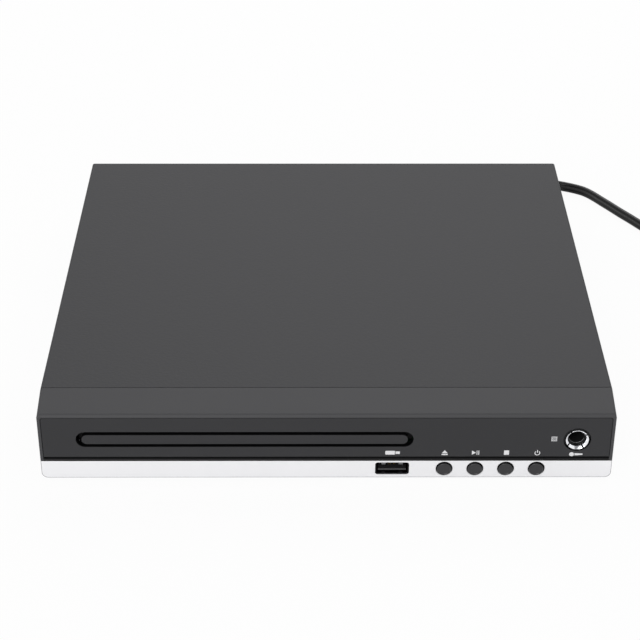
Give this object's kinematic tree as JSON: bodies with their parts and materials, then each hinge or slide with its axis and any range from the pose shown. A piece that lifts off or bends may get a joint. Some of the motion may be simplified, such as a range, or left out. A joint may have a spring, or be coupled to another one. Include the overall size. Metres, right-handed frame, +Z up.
{
  "type": "disc player",
  "caption": "Slim table-top disc player in a folded steel case, with a motor-driven loading tray, round keys, a USB socket, a microphone jack and a mains cord.",
  "frame": {"origin": "on the floor, below the middle of the case with its sockets, screws and knobs, without the mains cord", "axes": "+X to the right of someone who looks at the front, +Y from the front to the back, +Z up"},
  "size_m": [0.3852, 0.2519, 0.0365],
  "materials": {
    "cover_paint": "fine textured grey paint",
    "zinc_steel": "zinc plated sheet",
    "black_steel": "satin black paint",
    "bezel_plastic": "fine spark texture",
    "face_plastic": "satin dark grey",
    "pale_plastic": "satin off-white",
    "window_plastic": "smoked, translucent",
    "foot_rubber": "matte black",
    "black_screw": "blackened steel",
    "tray_plastic": "matte black",
    "frame_plastic": "moulded black",
    "nylon": "natural acetal",
    "motor_steel": "bright drawn steel",
    "rod_steel": "ground and polished",
    "magnet": "dark sintered magnet",
    "die_cast": "bare die casting",
    "lens": "coated lens in its holder",
    "brass": "turned brass",
    "green_board": "solder mask",
    "tan_board": "phenolic paper board",
    "black_component": "moulded epoxy",
    "nickel": "nickel plated",
    "yellow_tape": "ferrite core under polyester tape",
    "can_blue": "sleeved aluminium can",
    "sink_aluminium": "plain extrusion",
    "ribbon": "laminated flat cable",
    "cord_plastic": "soft black vinyl"
  },
  "bodies": {
    "chassis": {"top_cover": "cover_paint", "base_pan": "zinc_steel", "rear_panel": "black_steel", "front_bezel": "bezel_plastic", "face_plate": "face_plastic", "lower_strip": "pale_plastic", "remote_window": "window_plastic", "feet": "foot_rubber", "cover_screws": "black_screw", "inner_screws": "zinc_steel", "loader_frame": "frame_plastic", "drive_belt": "foot_rubber", "loader_motor": "motor_steel", "clamp_bridge": "zinc_steel", "deck_grommets": "foot_rubber", "front_board": "green_board", "key_switches": "black_component", "remote_receiver": "black_component", "usb_shell": "motor_steel", "usb_tongue": "black_component", "jack_body": "black_component", "jack_nut": "nickel", "main_board": "green_board", "main_chips": "black_component", "av_housings": "black_component", "av_sleeves": "nickel", "hdmi_shell": "motor_steel", "power_board": "tan_board", "transformer": "yellow_tape", "capacitors": "can_blue", "heatsink": "sink_aluminium", "ribbon_cable": "ribbon", "strain_relief": "cord_plastic", "power_cord": "cord_plastic", "cord_coil": "cord_plastic", "plug_body": "cord_plastic", "plug_blades": "brass"},
    "tray": {"disc_tray": "tray_plastic", "tray_door": "face_plastic"},
    "tray_gear": {"tray_gear": "nylon"},
    "pulley_gear": {"pulley_gear": "nylon"},
    "motor_pulley": {"motor_pulley": "nylon"},
    "cam_slider": {"cam_slider": "nylon"},
    "traverse": {"traverse_deck": "zinc_steel", "spindle_motor": "motor_steel", "guide_rods": "rod_steel", "sled_motor": "motor_steel"},
    "spindle": {"turntable": "frame_plastic", "turntable_pad": "foot_rubber"},
    "sled": {"pickup_sled": "die_cast", "pickup_lens": "lens"},
    "sled_gear": {"sled_gear": "nylon"},
    "sled_pinion": {"sled_pinion": "brass"},
    "clamper": {"clamper": "nylon", "clamp_magnet": "magnet"},
    "button_eject": {"button_eject": "bezel_plastic"},
    "button_play": {"button_play": "bezel_plastic"},
    "button_stop": {"button_stop": "bezel_plastic"},
    "button_power": {"button_power": "bezel_plastic"}
  },
  "joints": [
    {"name": "tray_slide", "type": "slide", "parent": "chassis", "child": "tray", "axis": [0, -1, 0], "range_m": [0, 0.126]},
    {"name": "tray_gear_spin", "type": "hinge", "parent": "chassis", "child": "tray_gear", "pos_m": [-0.076, -0.08175, 0.015], "axis": [0, 0, 1], "range_deg": [0, 905]},
    {"name": "pulley_gear_spin", "type": "hinge", "parent": "chassis", "child": "pulley_gear", "pos_m": [-0.05827, -0.07862, 0.015], "axis": [0, 0, 1], "range_deg": [-2970, 0]},
    {"name": "motor_pulley_spin", "type": "hinge", "parent": "chassis", "child": "motor_pulley", "pos_m": [-0.024, -0.07975, 0.015], "axis": [0, 0, 1], "range_deg": [-10900, 0]},
    {"name": "cam_slide", "type": "slide", "parent": "chassis", "child": "cam_slider", "axis": [1, 0, 0], "range_m": [0, 0.012]},
    {"name": "traverse_tilt", "type": "hinge", "parent": "chassis", "child": "traverse", "pos_m": [-0.032, 0.04925, 0.0154], "axis": [1, 0, 0], "range_deg": [0, 2.08]},
    {"name": "spindle_spin", "type": "hinge", "parent": "traverse", "child": "spindle", "pos_m": [-0.032, -0.04075, 0.015], "axis": [0, 0, 1], "continuous": true},
    {"name": "clamper_spin", "type": "hinge", "parent": "chassis", "child": "clamper", "pos_m": [-0.032, -0.04075, 0.028], "axis": [0, 0, 1], "continuous": true},
    {"name": "sled_slide", "type": "slide", "parent": "traverse", "child": "sled", "axis": [0, 1, 0], "range_m": [0, 0.035]},
    {"name": "sled_gear_spin", "type": "hinge", "parent": "traverse", "child": "sled_gear", "pos_m": [-0.002, 0.00125, 0.015], "axis": [0, 0, 1], "range_deg": [-575, 0]},
    {"name": "sled_pinion_spin", "type": "hinge", "parent": "traverse", "child": "sled_pinion", "pos_m": [-0.002, 0.01175, 0.015], "axis": [0, 0, 1], "range_deg": [0, 1435]},
    {"name": "press_eject", "type": "slide", "parent": "chassis", "child": "button_eject", "axis": [0, 1, 0], "range_m": [0, 0.0005], "stiffness_N_per_m": 300},
    {"name": "press_play", "type": "slide", "parent": "chassis", "child": "button_play", "axis": [0, 1, 0], "range_m": [0, 0.0005], "stiffness_N_per_m": 300},
    {"name": "press_stop", "type": "slide", "parent": "chassis", "child": "button_stop", "axis": [0, 1, 0], "range_m": [0, 0.0005], "stiffness_N_per_m": 300},
    {"name": "press_power", "type": "slide", "parent": "chassis", "child": "button_power", "axis": [0, 1, 0], "range_m": [0, 0.0005], "stiffness_N_per_m": 300}
  ],
  "couplings": [
    {"joint": "tray_gear_spin", "follows": "tray_slide", "rad_per_m": 125},
    {"joint": "pulley_gear_spin", "follows": "tray_slide", "rad_per_m": -410.71},
    {"joint": "motor_pulley_spin", "follows": "tray_slide", "rad_per_m": -1506},
    {"joint": "traverse_tilt", "follows": "cam_slide", "rad_per_m": 3.0056},
    {"joint": "clamper_spin", "follows": "spindle_spin", "ratio": 1},
    {"joint": "sled_gear_spin", "follows": "sled_slide", "rad_per_m": -285.71},
    {"joint": "sled_pinion_spin", "follows": "sled_slide", "rad_per_m": 714.29}
  ]
}
